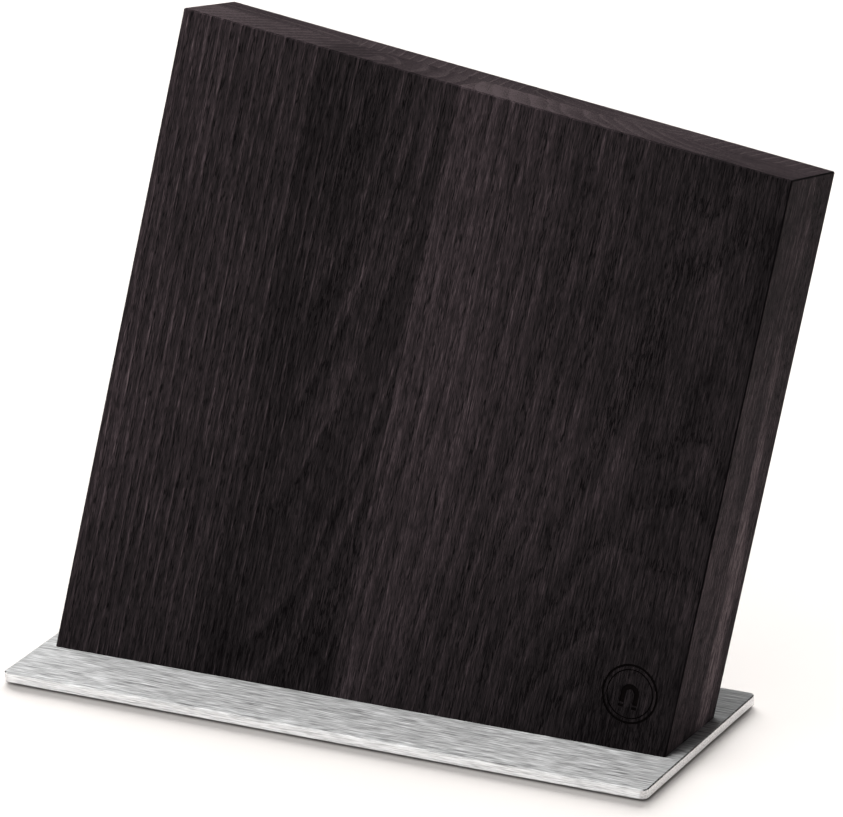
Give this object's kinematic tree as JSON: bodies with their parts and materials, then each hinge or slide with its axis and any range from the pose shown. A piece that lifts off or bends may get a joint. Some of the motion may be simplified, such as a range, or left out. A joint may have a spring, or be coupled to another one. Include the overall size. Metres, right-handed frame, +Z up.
{
  "type": "magnetic knife rack",
  "caption": "Free-standing magnetic knife rack: a dark wooden slab that leans back and sideways on a brushed steel base plate and holds blades on its faces.",
  "frame": {"origin": "middle of the anti-slip pad's underside, on the surface it stands on, half way along and across the base plate", "axes": "+Z up; -Y is the front, with the engraved mark; +X is to the right as seen from the front, the way the slab leans sideways; the slab leans back towards +Y"},
  "size_m": [0.2853, 0.1235, 0.2472],
  "materials": {
    "brushed_plate": "brushed along the width",
    "rubber_pad": "matte",
    "screw_steel": "satin",
    "insert_brass": "turned",
    "smoked_wood": "very dark stained open-pored hardwood, matte oil",
    "magnet_nickel": "nickel plated",
    "yoke_steel": "mill finish",
    "filler_wood": "planed"
  },
  "bodies": {
    "root": {"anti_slip_pad": "rubber_pad", "back_lower_filler_strip": "filler_wood", "back_lower_magnet_1": "magnet_nickel", "back_lower_magnet_2": "magnet_nickel", "back_lower_magnet_3": "magnet_nickel", "back_lower_magnet_4": "magnet_nickel", "back_lower_magnet_5": "magnet_nickel", "back_lower_yoke_strip": "yoke_steel", "back_stave_1": "smoked_wood", "back_stave_2": "smoked_wood", "back_stave_3": "smoked_wood", "back_stave_4": "smoked_wood", "back_upper_filler_strip": "filler_wood", "back_upper_magnet_1": "magnet_nickel", "back_upper_magnet_2": "magnet_nickel", "back_upper_magnet_3": "magnet_nickel", "back_upper_magnet_4": "magnet_nickel", "back_upper_magnet_5": "magnet_nickel", "back_upper_yoke_strip": "yoke_steel", "base_plate": "brushed_plate", "base_screws": "screw_steel", "front_lower_filler_strip": "filler_wood", "front_lower_magnet_1": "magnet_nickel", "front_lower_magnet_2": "magnet_nickel", "front_lower_magnet_3": "magnet_nickel", "front_lower_magnet_4": "magnet_nickel", "front_lower_magnet_5": "magnet_nickel", "front_lower_yoke_strip": "yoke_steel", "front_stave_1": "smoked_wood", "front_stave_2": "smoked_wood", "front_stave_3": "smoked_wood", "front_stave_4": "smoked_wood", "front_upper_filler_strip": "filler_wood", "front_upper_magnet_1": "magnet_nickel", "front_upper_magnet_2": "magnet_nickel", "front_upper_magnet_3": "magnet_nickel", "front_upper_magnet_4": "magnet_nickel", "front_upper_magnet_5": "magnet_nickel", "front_upper_yoke_strip": "yoke_steel", "threaded_inserts": "insert_brass"}
  },
  "joints": []
}
